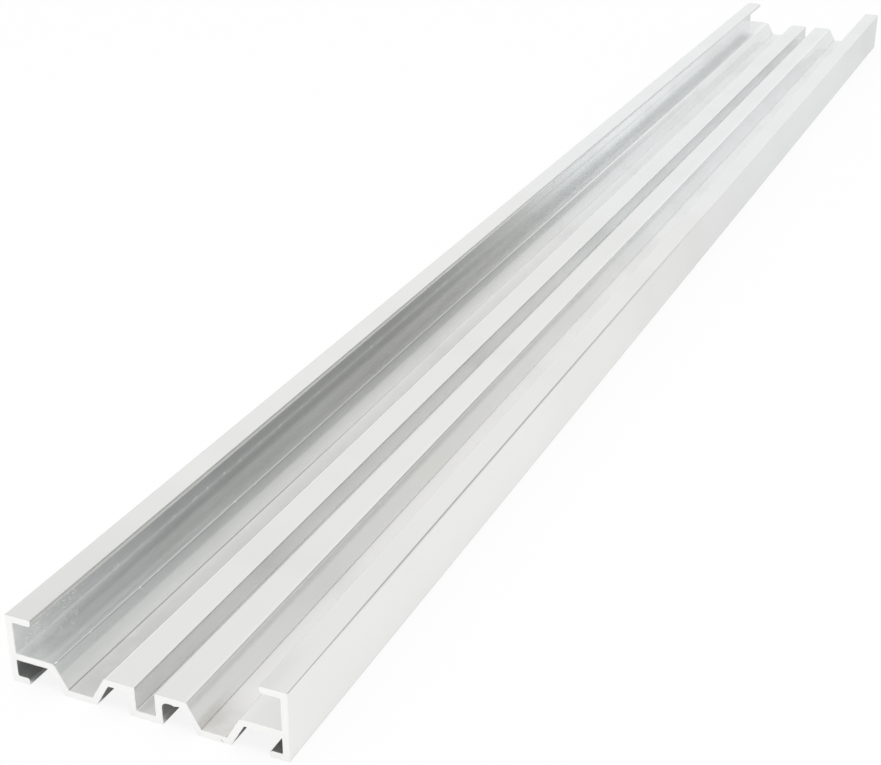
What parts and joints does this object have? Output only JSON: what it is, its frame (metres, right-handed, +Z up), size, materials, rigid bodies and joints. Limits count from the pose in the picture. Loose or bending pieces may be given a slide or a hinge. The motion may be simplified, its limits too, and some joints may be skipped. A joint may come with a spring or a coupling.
{
  "type": "aluminium extrusion profile",
  "caption": "Straight sawn length of mill-finish aluminium extrusion: a shallow tray with lipped side walls, a folded base of ribs and troughs, and a square centre groove.",
  "frame": {"origin": "on the plane of the underside, in the middle of the width and of the length", "axes": "+X across the section, +Y along the stock, +Z up from the underside to the lips"},
  "size_m": [0.1, 0.93, 0.025],
  "materials": {
    "mill_aluminium": "satin mill finish with fine lengthwise die lines, sawn ends"
  },
  "bodies": {
    "root": {"extrusion_profile": "mill_aluminium"}
  },
  "joints": []
}
